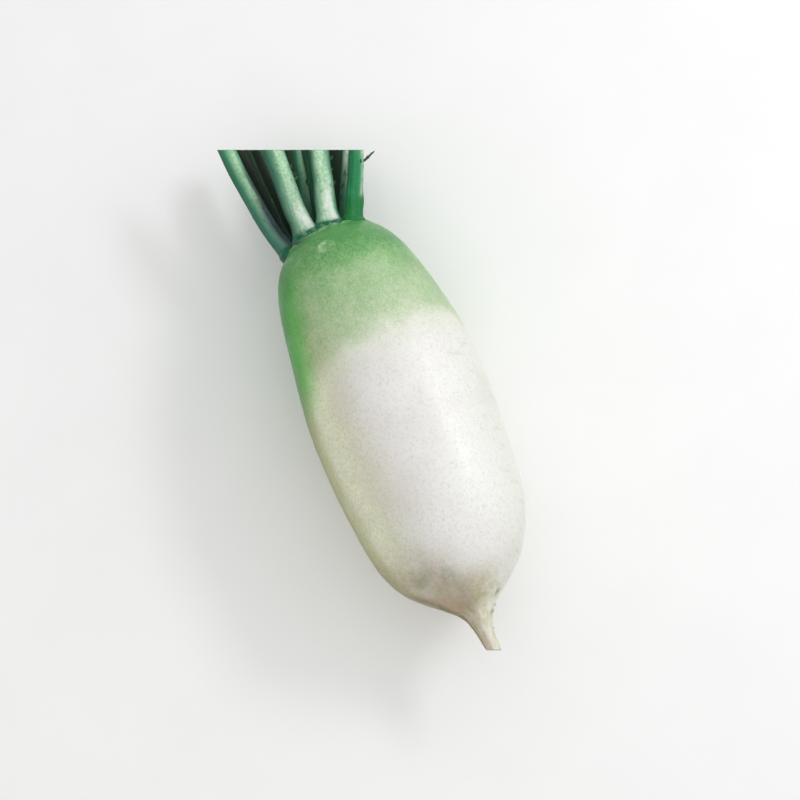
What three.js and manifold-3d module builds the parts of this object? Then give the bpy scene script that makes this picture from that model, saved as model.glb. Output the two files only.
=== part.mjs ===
// Green-shouldered daikon radish, lying on its side, leaf stalks trimmed with one slanted knife cut.
// Millimetres, +Z up.  +X runs along the root from the tail to the crown.
// The origin is under the middle of the whole piece, on the surface that it lies on.
import * as THREE from 'three';
import { mergeVertices } from 'three/addons/utils/BufferGeometryUtils.js';
import Module from 'manifold-3d';

const wasm = await Module();
wasm.setup();

// ---------- driving dimensions (mm) ----------
const AXIS_HEIGHT = 45.6;      // height of the root's axis above the surface
const ROUND = 0.978;           // height of the root's section over its width
const GAP = 0.3;               // clearance between neighbouring pieces
const SIDES = 40;              // facets round the root
const STALK_SIDES = 12;        // facets round a leaf stalk
const ORIGIN_X = 22.852;        // bottom centre of the whole piece, along the root
const ORIGIN_Y = -2.225;        // and across it

// Root outline: station along the axis, half width, sideways drift of the centre line.
const ROOT = [
  [-137.0, 2.57, 1.1], [-133.0, 2.87, 0.95], [-129.3, 3.17, 0.75], [-125.8, 3.66, 0.5], [-121.5, 3.95, -0.05], [-117.5, 4.55, -0.2],
  [-113.1, 5.6, -0.1], [-110.0, 6.8, 0.2], [-107.6, 8.3, 0.4], [-105.3, 9.9, 0.3], [-102.6, 12.7, 0.3], [-99.8, 16.3, 0.65],
  [-96.9, 19.90, 0.9], [-94.0, 23.27, 0.85], [-91.0, 26.53, 0.8], [-87.8, 29.70, 0.85], [-84.2, 32.57, 0.9], [-79.5, 35.55, 0.9],
  [-74.0, 38.25, 1.1], [-67.0, 40.65, 1.5], [-58.0, 42.65, 1.75], [-46.0, 44.25, 1.8], [-31.0, 45.75, 1.75], [-15.0, 47.00, 2.0],
  [0.0, 47.55, 2.2], [15.0, 47.35, 2.45], [30.0, 46.15, 2.65], [44.0, 44.25, 2.55], [57.0, 42.05, 2.1], [68.0, 39.95, 1.65],
  [77.0, 37.85, 1.3], [84.0, 35.65, 1.2], [89.5, 33.36, 1.05], [94.3, 30.59, 1.0], [98.0, 27.92, 1.05], [101.1, 24.75, 1.2],
  [103.6, 21.19, 1.3], [105.4, 17.13, 1.2], [106.6, 12.38, 1.0], [107.2, 6.43, 0.8],
];
const CROWN_TIP = 107.3;

// Leaf stalks.  path: station, sideways place, height, all from the axis at the crown.
// wide and deep: section at the base, at the neck a little above it and at the cut.
const STALKS = {
  leaf_stalk_1: { path: [[99.5, -18.6, 2.2], [106.0, -20.6, 2.7], [112.0, -22.6, 3.1], [118.0, -24.2, 3.5], [127.5, -25.9, 4.2], [141.8, -27.8, 5.0], [153.0, -29.2, 5.5], [167.7, -30.2, 6.0], [180.0, -30.8, 6.3]], wide: [11.5, 10.5, 9.6], deep: [12.0, 11.4, 10.9] },
  leaf_stalk_2: { path: [[99.5, -9.4, 14.6], [105.4, -9.2, 15.3], [112.3, -9.2, 16.2], [119.0, -9.7, 17.5], [125.5, -9.6, 19.0], [138.7, -9.2, 22.0], [150.8, -8.8, 25.0], [166.0, -8.0, 27.5]], wide: [17.0, 12.2, 11.4], deep: [9.8, 9.2, 8.8] },
  leaf_stalk_3: { path: [[100.0, 3.2, 17.4], [108.5, 4.5, 18.4], [116.4, 6.4, 20.0], [127.0, 9.5, 22.5], [131.9, 10.6, 24.0], [141.2, 13.1, 26.0], [158.0, 17.0, 29.0]], wide: [15.0, 11.2, 9.8], deep: [9.6, 9.0, 8.4] },
  leaf_stalk_4: { path: [[99.5, 14.6, 11.6], [106.0, 16.8, 12.4], [118.0, 22.2, 15.0], [127.2, 26.6, 17.0], [136.1, 30.4, 18.5], [152.0, 36.0, 21.0]], wide: [12.5, 10.2, 8.0], deep: [9.4, 8.6, 7.4] },
  leaf_stalk_5: { path: [[99.5, 15.6, -2.6], [107.0, 17.0, -3.4], [116.9, 20.4, -5.5], [130.2, 25.0, -7.5], [146.3, 30.6, -10.0], [158.1, 34.8, -12.0]], wide: [12.0, 9.0, 7.4], deep: [8.5, 7.4, 6.4] },
  leaf_stalk_6: { path: [[99.5, 11.6, -13.6], [107.0, 11.4, -15.0], [121.3, 12.9, -17.8], [137.8, 17.7, -20.2], [154.3, 22.0, -22.5], [168.0, 26.0, -24.2]], wide: [12.5, 11.8, 12.2], deep: [8.6, 8.2, 7.8] },
  leaf_stalk_7: { path: [[99.5, -4.6, -17.6], [107.0, -5.6, -19.2], [127.0, -4.4, -22.2], [147.0, -1.5, -24.6], [164.2, 1.4, -26.5], [178.0, 3.9, -28.0]], wide: [13.0, 13.0, 13.4], deep: [8.8, 8.4, 8.2] },
  leaf_stalk_8: { path: [[99.5, -16.4, -12.0], [107.0, -18.6, -12.6], [119.6, -21.2, -13.6], [141.1, -22.3, -15.0], [159.8, -23.1, -16.2], [172.3, -23.7, -17.0], [190.0, -24.5, -18.4]], wide: [12.5, 11.6, 11.2], deep: [8.8, 8.4, 8.2] },
  inner_stalk_1: { path: [[102.5, -7.0, 3.0], [115.6, -4.9, 5.0], [132.0, -1.1, 7.0], [145.8, 1.3, 8.6], [152.1, 2.6, 9.4], [165.0, 5.4, 10.4]], wide: [6.4, 5.0, 4.2], deep: [4.8, 4.2, 3.8] },
  inner_stalk_2: { path: [[102.5, 7.8, 3.4], [112.6, 12.7, 5.6], [125.1, 18.5, 8.0], [134.3, 23.1, 9.8], [141.3, 26.4, 11.0], [153.0, 32.0, 12.6]], wide: [6.4, 5.2, 4.6], deep: [4.8, 4.4, 4.0] },
  inner_stalk_3: { path: [[102.5, -9.5, -3.8], [116.8, -14.6, -3.6], [134.5, -15.8, -3.2], [151.2, -16.5, -2.6], [164.2, -16.8, -2.0], [179.0, -17.2, -1.1]], wide: [8.6, 8.0, 7.4], deep: [6.6, 6.4, 6.2] },
  inner_stalk_4: { path: [[102.5, 3.6, -6.6], [112.0, 1.8, -8.2], [122.5, 0.9, -9.5], [140.5, 4.2, -11.0], [157.4, 7.7, -12.6], [171.0, 10.3, -13.7]], wide: [7.0, 5.8, 5.2], deep: [5.2, 4.8, 4.4] },
};

// Knife plane across the stalks and the snapped end of the tail: a point and a normal that points away from the root.
const KNIFE = { point: [156.315, -10.227, 12.63], normal: [0.87645, 0.3733, 0.30411] };
const TAIL_END = { point: [-127.6, 0.7, 0.0], normal: [-0.91663, -0.3733, -0.14295] };

// ---------- helpers ----------
const place = (s, v, z) => new THREE.Vector3(s, -v, z + AXIS_HEIGHT);

// Closed skin over a list of equal rings, with a point at each end.
function loft(rings, first, last) {
  const n = rings[0].length;
  const pos = [];
  for (const ring of rings) for (const p of ring) pos.push(p.x, p.y, p.z);
  pos.push(first.x, first.y, first.z, last.x, last.y, last.z);
  const a = rings.length * n, b = a + 1, index = [];
  for (let j = 0; j < n; j++) {
    const k = (j + 1) % n;
    for (let i = 0; i + 1 < rings.length; i++) {
      const p = i * n + j, q = i * n + k, r = p + n, s = q + n;
      index.push(p, q, s, p, s, r);
    }
    index.push(a, k, j);
    const t = (rings.length - 1) * n;
    index.push(b, t + j, t + k);
  }
  const g = new THREE.BufferGeometry();
  g.setAttribute('position', new THREE.Float32BufferAttribute(pos, 3));
  g.setIndex(index);
  return g;
}

function solid(geometry) {
  let g = geometry.clone();
  g.deleteAttribute('normal');
  g.deleteAttribute('uv');
  g = mergeVertices(g, 1e-4);
  const make = (idx) => new wasm.Manifold(new wasm.Mesh({
    numProp: 3, vertProperties: new Float32Array(g.attributes.position.array), triVerts: new Uint32Array(idx) }));
  let m = make(g.index.array);
  if (m.volume() < 0) {
    const idx = Array.from(g.index.array);
    for (let i = 0; i < idx.length; i += 3) [idx[i], idx[i + 1]] = [idx[i + 1], idx[i]];
    m = make(idx);
  }
  return m;
}

function geometryOf(m) {
  const mesh = m.getMesh();
  const g = new THREE.BufferGeometry();
  const np = mesh.numProp, n = mesh.vertProperties.length / np, pos = new Float32Array(n * 3);
  for (let i = 0; i < n; i++) for (let c = 0; c < 3; c++) pos[i * 3 + c] = mesh.vertProperties[i * np + c];
  g.setAttribute('position', new THREE.BufferAttribute(pos, 3));
  g.setIndex(Array.from(mesh.triVerts));
  g.computeVertexNormals();
  return g;
}

// A large block on the far side of a plane.
function block({ point, normal }) {
  const n = new THREE.Vector3(normal[0], -normal[1], normal[2]).normalize();
  const box = new THREE.BoxGeometry(300, 300, 200);
  box.translate(0, 0, 100);
  box.applyQuaternion(new THREE.Quaternion().setFromUnitVectors(new THREE.Vector3(0, 0, 1), n));
  const p = place(...point);
  box.translate(p.x, p.y, p.z);
  return solid(box);
}

// The root's skin, grown outwards by "grow".
function rootSkin(grow) {
  const rings = ROOT.map(([s, half, drift]) => {
    const ring = [];
    for (let j = 0; j < SIDES; j++) {
      const t = (j / SIDES) * Math.PI * 2;
      const p = place(s, drift + (half + grow) * Math.cos(t), (half + grow) * ROUND * Math.sin(t));
      p.z = Math.max(p.z, grow > 0 ? -5 : 0);
      ring.push(p);
    }
    return ring;
  });
  if (grow > 0) for (const ring of rings) if (ring[0].x > 95) for (const p of ring) p.x += grow;
  return loft(rings, place(ROOT[0][0] - 0.4, ROOT[0][2], 0), place(CROWN_TIP + grow, 0.8, 0));
}

// A leaf stalk: rounded outside, flatter on the side that faces the crown's centre.
function stalkSkin({ path, wide, deep }, grow) {
  const curve = new THREE.CatmullRomCurve3(path.map((p) => place(...p)), false, 'centripetal');
  const steps = 14, rings = [];
  const centre = place(100, 0.5, 0);
  let first, last;
  for (let i = 0; i <= steps; i++) {
    const u = i / steps;
    const p = curve.getPointAt(u), t = curve.getTangentAt(u);
    const out = new THREE.Vector3(0, p.y - centre.y, p.z - centre.z).normalize();
    out.addScaledVector(t, -out.dot(t)).normalize();
    const side = new THREE.Vector3().crossVectors(t, out).normalize();
    const f = (a) => (u < 0.22 ? THREE.MathUtils.lerp(a[0], a[1], THREE.MathUtils.smoothstep(u, 0, 0.22)) : THREE.MathUtils.lerp(a[1], a[2], (u - 0.22) / 0.78));
    const w = f(wide) / 2 + grow, d = f(deep) / 2 + grow;
    const ring = [];
    for (let j = 0; j < STALK_SIDES; j++) {
      const a = (j / STALK_SIDES) * Math.PI * 2;
      const y = Math.sin(a);
      ring.push(p.clone().addScaledVector(side, w * Math.cos(a)).addScaledVector(out, y > 0 ? d * y : 0.72 * d * y));
    }
    rings.push(ring);
    if (i === 0) first = p.clone().addScaledVector(t, -0.05);
    if (i === steps) last = p.clone().addScaledVector(t, 0.05);
  }
  return loft(rings, first, last);
}

// ---------- pieces ----------
const daikon = new THREE.Group();
daikon.name = 'daikon_radish';

const material = (hex, roughness) => new THREE.MeshStandardMaterial({ color: hex, roughness, metalness: 0 });
function add(name, m, mat) {
  const g = geometryOf(m);
  g.translate(-ORIGIN_X, -ORIGIN_Y, 0);
  const mesh = new THREE.Mesh(g, mat);
  mesh.name = name;
  daikon.add(mesh);
}

const root = solid(rootSkin(0)).subtract(block(TAIL_END));
add('root', root, material(0xe4e2d6, 0.42));

const around = solid(rootSkin(GAP));
const beyond = block(KNIFE);
const done = [];
for (const [name, spec] of Object.entries(STALKS)) {
  let m = solid(stalkSkin(spec, 0)).subtract(around).subtract(beyond);
  for (const other of done) m = m.subtract(other);
  // keep the long piece if a cut leaves slivers
  const parts = m.decompose();
  parts.sort((a, b) => b.volume() - a.volume());
  m = parts[0];
  add(name, m, material(name.startsWith('inner') ? 0x4f8f6a : 0x4c9a78, 0.42));
  done.push(solid(stalkSkin(spec, GAP)));
}

export default daikon;
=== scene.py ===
import math
import bpy
import numpy as np
from mathutils import Matrix, Vector


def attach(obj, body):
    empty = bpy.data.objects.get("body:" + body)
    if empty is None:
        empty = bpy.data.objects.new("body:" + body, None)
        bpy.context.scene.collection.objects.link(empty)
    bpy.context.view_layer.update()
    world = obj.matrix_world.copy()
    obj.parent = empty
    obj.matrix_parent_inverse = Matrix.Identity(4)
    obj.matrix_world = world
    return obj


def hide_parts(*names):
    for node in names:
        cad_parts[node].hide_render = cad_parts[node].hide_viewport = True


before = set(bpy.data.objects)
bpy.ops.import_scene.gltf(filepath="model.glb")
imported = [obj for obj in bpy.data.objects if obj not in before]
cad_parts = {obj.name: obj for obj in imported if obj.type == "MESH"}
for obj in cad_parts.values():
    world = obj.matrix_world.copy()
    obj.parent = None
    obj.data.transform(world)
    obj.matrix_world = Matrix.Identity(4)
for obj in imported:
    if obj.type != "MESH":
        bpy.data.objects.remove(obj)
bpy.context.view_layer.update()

# ------------------------------------------------------------------ the shared frame
# Shapes are worked out in millimetres as (station along the root, sideways, height above the axis),
# the same figures as the CAD part, and moved into the row frame in metres.
ORIGIN_X, ORIGIN_Y, AXIS_HEIGHT = 22.852, -2.225, 45.6
ROUND = 0.978

ROOT = np.array([
    [-137.0, 2.57, 1.1], [-133.0, 2.87, 0.95], [-129.3, 3.17, 0.75], [-125.8, 3.66, 0.5], [-121.5, 3.95, -0.05], [-117.5, 4.55, -0.2],
    [-113.1, 5.6, -0.1], [-110.0, 6.8, 0.2], [-107.6, 8.3, 0.4], [-105.3, 9.9, 0.3], [-102.6, 12.7, 0.3], [-99.8, 16.3, 0.65],
    [-96.9, 19.9, 0.9], [-94.0, 23.27, 0.85], [-91.0, 26.53, 0.8], [-87.8, 29.7, 0.85], [-84.2, 32.57, 0.9], [-79.5, 35.55, 0.9],
    [-74.0, 38.25, 1.1], [-67.0, 40.65, 1.5], [-58.0, 42.65, 1.75], [-46.0, 44.25, 1.8], [-31.0, 45.75, 1.75], [-15.0, 47.0, 2.0],
    [0.0, 47.55, 2.2], [15.0, 47.35, 2.45], [30.0, 46.15, 2.65], [44.0, 44.25, 2.55], [57.0, 42.05, 2.1], [68.0, 39.95, 1.65],
    [77.0, 37.85, 1.3], [84.0, 35.65, 1.2], [89.5, 33.36, 1.05], [94.3, 30.59, 1.0], [98.0, 27.92, 1.05], [101.1, 24.75, 1.2],
    [103.6, 21.19, 1.3], [105.4, 17.13, 1.2], [106.6, 12.38, 1.0], [107.2, 6.44, 0.8], [107.3, 0.0, 0.8]])

# path, width and depth at the base, the neck and the cut, as in the CAD part; then the pale band, partly the stalk's
# own colour and partly painted light, the painted shade on the side away from the light (centre, width, strength;
# degrees in the cross plane, 0 sideways, 90 up), the painted highlight near the foot (centre, width, distance from the
# crown, reach, strength), how green and blue the stalk is, and how much painted shade it gets in the gaps
STALKS = {
    "leaf_stalk_1": dict(path=[[99.5, -18.6, 2.2], [106.0, -20.6, 2.7], [112.0, -22.6, 3.1], [118.0, -24.2, 3.5], [127.5, -25.9, 4.2], [141.8, -27.8, 5.0], [153.0, -29.2, 5.5], [167.7, -30.2, 6.0], [180.0, -30.8, 6.3]], wide=[11.5, 10.5, 9.6], deep=[12.0, 11.4, 10.9], pale_band_and_light=(79, 25, 0.86), painted_shade_flank=(158, 36, 0.60), highlight_patch=(70, 22, 60, 22, 0.0), deepness=0.30, blue=0.85, gap_shade=0.0, lip=0.0),
    "leaf_stalk_2": dict(path=[[99.5, -9.4, 14.6], [105.4, -9.2, 15.3], [112.3, -9.2, 16.2], [119.0, -9.7, 17.5], [125.5, -9.6, 19.0], [138.7, -9.2, 22.0], [150.8, -8.8, 25.0], [166.0, -8.0, 27.5]], wide=[17.0, 12.2, 11.4], deep=[9.8, 9.2, 8.8], pale_band_and_light=(70, 48, 1.0), painted_shade_flank=(152, 36, 1.0), highlight_patch=(64, 34, 11.0, 8.0, 1.15), deepness=0.15, blue=0.10, gap_shade=0.0, lip=0.45),
    "leaf_stalk_3": dict(path=[[100.0, 3.2, 17.4], [108.5, 4.5, 18.4], [116.4, 6.4, 20.0], [127.0, 9.5, 22.5], [131.9, 10.6, 24.0], [141.2, 13.1, 26.0], [158.0, 17.0, 29.0]], wide=[15.0, 11.2, 9.8], deep=[9.6, 9.0, 8.4], pale_band_and_light=(72, 50, 1.0), painted_shade_flank=(150, 36, 1.0), highlight_patch=(63, 21, 9.0, 11.0, 1.6), deepness=0.20, blue=0.10, gap_shade=0.0, lip=0.35),
    "leaf_stalk_4": dict(path=[[99.5, 14.6, 11.6], [106.0, 16.8, 12.4], [118.0, 22.2, 15.0], [127.2, 26.6, 17.0], [136.1, 30.4, 18.5], [152.0, 36.0, 21.0]], wide=[12.5, 10.2, 8.0], deep=[9.4, 8.6, 7.4], pale_band_and_light=(16, 20, 0.85), painted_shade_flank=(150, 40, 0.8), highlight_patch=(40, 20, 30, 10, 0.0), deepness=1.0, blue=0.0, gap_shade=0.0, lip=0.9),
    "leaf_stalk_5": dict(path=[[99.5, 15.6, -2.6], [107.0, 17.0, -3.4], [116.9, 20.4, -5.5], [130.2, 25.0, -7.5], [146.3, 30.6, -10.0], [158.1, 34.8, -12.0]], wide=[12.0, 9.0, 7.4], deep=[8.5, 7.4, 6.4], pale_band_and_light=(60, 30, 0.3), painted_shade_flank=(150, 30, 0.5), highlight_patch=(60, 20, 30, 10, 0.0), deepness=0.8, blue=0.2, gap_shade=0.45, lip=0.2),
    "leaf_stalk_6": dict(path=[[99.5, 11.6, -13.6], [107.0, 11.4, -15.0], [121.3, 12.9, -17.8], [137.8, 17.7, -20.2], [154.3, 22.0, -22.5], [168.0, 26.0, -24.2]], wide=[12.5, 11.8, 12.2], deep=[8.6, 8.2, 7.8], pale_band_and_light=(80, 30, 0.2), painted_shade_flank=(150, 30, 0.5), highlight_patch=(60, 20, 30, 10, 0.0), deepness=0.7, blue=0.2, gap_shade=0.9, lip=0),
    "leaf_stalk_7": dict(path=[[99.5, -4.6, -17.6], [107.0, -5.6, -19.2], [127.0, -4.4, -22.2], [147.0, -1.5, -24.6], [164.2, 1.4, -26.5], [178.0, 3.9, -28.0]], wide=[13.0, 13.0, 13.4], deep=[8.8, 8.4, 8.2], pale_band_and_light=(80, 30, 0.2), painted_shade_flank=(150, 30, 0.5), highlight_patch=(60, 20, 30, 10, 0.0), deepness=0.7, blue=0.2, gap_shade=0.9, lip=0),
    "leaf_stalk_8": dict(path=[[99.5, -16.4, -12.0], [107.0, -18.6, -12.6], [119.6, -21.2, -13.6], [141.1, -22.3, -15.0], [159.8, -23.1, -16.2], [172.3, -23.7, -17.0], [190.0, -24.5, -18.4]], wide=[12.5, 11.6, 11.2], deep=[8.8, 8.4, 8.2], pale_band_and_light=(80, 30, 0.2), painted_shade_flank=(150, 30, 0.5), highlight_patch=(60, 20, 30, 10, 0.0), deepness=0.7, blue=0.2, gap_shade=0.95, lip=0),
    "inner_stalk_1": dict(path=[[102.5, -7.0, 3.0], [115.6, -4.9, 5.0], [132.0, -1.1, 7.0], [145.8, 1.3, 8.6], [152.1, 2.6, 9.4], [165.0, 5.4, 10.4]], wide=[6.4, 5.0, 4.2], deep=[4.8, 4.2, 3.8], pale_band_and_light=(70, 40, 0.35), painted_shade_flank=(150, 30, 0.6), highlight_patch=(60, 20, 30, 10, 0.0), deepness=0.6, blue=0.4, gap_shade=0.25, lip=0),
    "inner_stalk_2": dict(path=[[102.5, 7.8, 3.4], [112.6, 12.7, 5.6], [125.1, 18.5, 8.0], [134.3, 23.1, 9.8], [141.3, 26.4, 11.0], [153.0, 32.0, 12.6]], wide=[6.4, 5.2, 4.6], deep=[4.8, 4.4, 4.0], pale_band_and_light=(42, 30, 0.85), painted_shade_flank=(138, 42, 1.0), highlight_patch=(70, 40, 38, 10, 0.8), deepness=0.5, blue=0.3, gap_shade=0.0, lip=0),
    "inner_stalk_3": dict(path=[[102.5, -9.5, -3.8], [116.8, -14.6, -3.6], [134.5, -15.8, -3.2], [151.2, -16.5, -2.6], [164.2, -16.8, -2.0], [179.0, -17.2, -1.1]], wide=[8.6, 8.0, 7.4], deep=[6.6, 6.4, 6.2], pale_band_and_light=(60, 30, 0.1), painted_shade_flank=(150, 30, 0.6), highlight_patch=(60, 20, 30, 10, 0.0), deepness=1.0, blue=0.3, gap_shade=0.95, lip=0),
    "inner_stalk_4": dict(path=[[102.5, 3.6, -6.6], [112.0, 1.8, -8.2], [122.5, 0.9, -9.5], [140.5, 4.2, -11.0], [157.4, 7.7, -12.6], [171.0, 10.3, -13.7]], wide=[7.0, 5.8, 5.2], deep=[5.2, 4.8, 4.4], pale_band_and_light=(60, 30, 0.2), painted_shade_flank=(150, 30, 0.6), highlight_patch=(60, 20, 30, 10, 0.0), deepness=0.8, blue=0.3, gap_shade=0.7, lip=0),
}
KNIFE = (np.array([156.315, -10.227, 12.63]), np.array([0.87645, 0.3733, 0.30411]))
TAIL_END = (np.array([-127.6, 0.7, 0.0]), np.array([-0.91663, -0.3733, -0.14295]))


def to_row(p):
    p = np.asarray(p, float)
    return np.stack([p[..., 0] - ORIGIN_X, -p[..., 1] - ORIGIN_Y, p[..., 2] + AXIS_HEIGHT], -1) / 1000.0


# ------------------------------------------------------------------ small tools
_rng = np.random.RandomState(20)
_perm = np.tile(_rng.permutation(256), 3)
_grad = _rng.normal(size=(256, 3))
_grad /= np.linalg.norm(_grad, axis=1)[:, None]


def noise(p, scale, seed=0):
    """Smooth gradient noise, about -1 to 1, at points in millimetres. scale is the size of its features."""
    shape = np.asarray(p).shape[:-1]
    q = np.asarray(p, float).reshape(-1, 3) / np.asarray(scale, float) + np.array([13.7, 5.1, 29.3]) * (seed + 1)
    i = np.floor(q).astype(int)
    f = q - i
    w = f * f * f * (f * (f * 6 - 15) + 10)
    out = 0
    for dx in (0, 1):
        for dy in (0, 1):
            for dz in (0, 1):
                h = _perm[(_perm[(_perm[(i[:, 0] + dx) & 255] + i[:, 1] + dy) & 255] + i[:, 2] + dz) & 255]
                g = (_grad[h] * (f - np.array([dx, dy, dz]))).sum(1)
                k = (w[:, 0] if dx else 1 - w[:, 0]) * (w[:, 1] if dy else 1 - w[:, 1]) * (w[:, 2] if dz else 1 - w[:, 2])
                out = out + k * g
    return (out * 1.5).reshape(shape)


def smooth(a, b, x):
    t = np.clip((x - a) / (b - a), 0, 1)
    return t * t * (3 - 2 * t)


def bell(x, width):
    return np.exp(-(x / width) ** 2)


def spline(points, samples, tight=0.5):
    """Centripetal Catmull-Rom through points, sampled evenly along its length."""
    p = np.asarray(points, float)
    p = np.vstack([2 * p[0] - p[1], p, 2 * p[-1] - p[-2]])
    t = np.concatenate([[0], np.cumsum(np.maximum(np.linalg.norm(np.diff(p, axis=0), axis=1), 1e-6) ** tight)])
    fine = []
    for i in range(1, len(p) - 2):
        x = np.linspace(t[i], t[i + 1], 40, endpoint=False)[:, None]
        a1 = (t[i] - x) / (t[i] - t[i - 1]) * p[i - 1] + (x - t[i - 1]) / (t[i] - t[i - 1]) * p[i]
        a2 = (t[i + 1] - x) / (t[i + 1] - t[i]) * p[i] + (x - t[i]) / (t[i + 1] - t[i]) * p[i + 1]
        a3 = (t[i + 2] - x) / (t[i + 2] - t[i + 1]) * p[i + 1] + (x - t[i + 1]) / (t[i + 2] - t[i + 1]) * p[i + 2]
        b1 = (t[i + 1] - x) / (t[i + 1] - t[i - 1]) * a1 + (x - t[i - 1]) / (t[i + 1] - t[i - 1]) * a2
        b2 = (t[i + 2] - x) / (t[i + 2] - t[i]) * a2 + (x - t[i]) / (t[i + 2] - t[i]) * a3
        fine.append((t[i + 1] - x) / (t[i + 1] - t[i]) * b1 + (x - t[i]) / (t[i + 1] - t[i]) * b2)
    fine.append(p[-2][None])
    fine = np.vstack(fine)
    d = np.concatenate([[0], np.cumsum(np.linalg.norm(np.diff(fine, axis=0), axis=1))])
    at = np.linspace(0, d[-1], samples)
    return np.stack([np.interp(at, d, fine[:, c]) for c in range(fine.shape[1])], 1), at


def gauss_filter(y, sigma):
    r = int(sigma * 4) + 1
    k = np.exp(-0.5 * (np.arange(-r, r + 1) / sigma) ** 2)
    k /= k.sum()
    pad = np.concatenate([2 * y[0] - y[r:0:-1], y, 2 * y[-1] - y[-2:-r - 2:-1]])
    return np.convolve(pad, k, "valid")


def normals_of(grid):
    """Unit normals of a grid of points [along, around, 3] that closes around. They point out of a tube."""
    du = np.gradient(grid, axis=0)
    dv = np.roll(grid, -1, 1) - np.roll(grid, 1, 1)
    n = np.cross(dv, du)
    n /= np.maximum(np.linalg.norm(n, axis=-1), 1e-9)[..., None]
    return n


def make_object(name, verts_mm, faces, attributes=None, material_of=None, smooth_shade=True):
    """A mesh object from vertices in the working frame. attributes: name to one number for each vertex."""
    me = bpy.data.meshes.new(name)
    me.from_pydata(to_row(verts_mm).tolist(), [], faces)
    me.update()
    for key, values in (attributes or {}).items():
        a = me.attributes.new(key, "FLOAT", "POINT")
        a.data.foreach_set("value", np.asarray(values, np.float32))
    if smooth_shade:
        me.polygons.foreach_set("use_smooth", np.ones(len(me.polygons), bool))
    if material_of is not None:
        me.polygons.foreach_set("material_index", np.asarray(material_of, np.int32))
    me.validate()
    ob = bpy.data.objects.new(name, me)
    bpy.context.scene.collection.objects.link(ob)
    return ob


def tube_faces(rings, sides, start=0):
    i, j = np.meshgrid(np.arange(rings - 1), np.arange(sides), indexing="ij")
    k = (j + 1) % sides
    return (np.stack([i * sides + j, (i + 1) * sides + j, (i + 1) * sides + k, i * sides + k], -1).reshape(-1, 4) + start).tolist()


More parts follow.
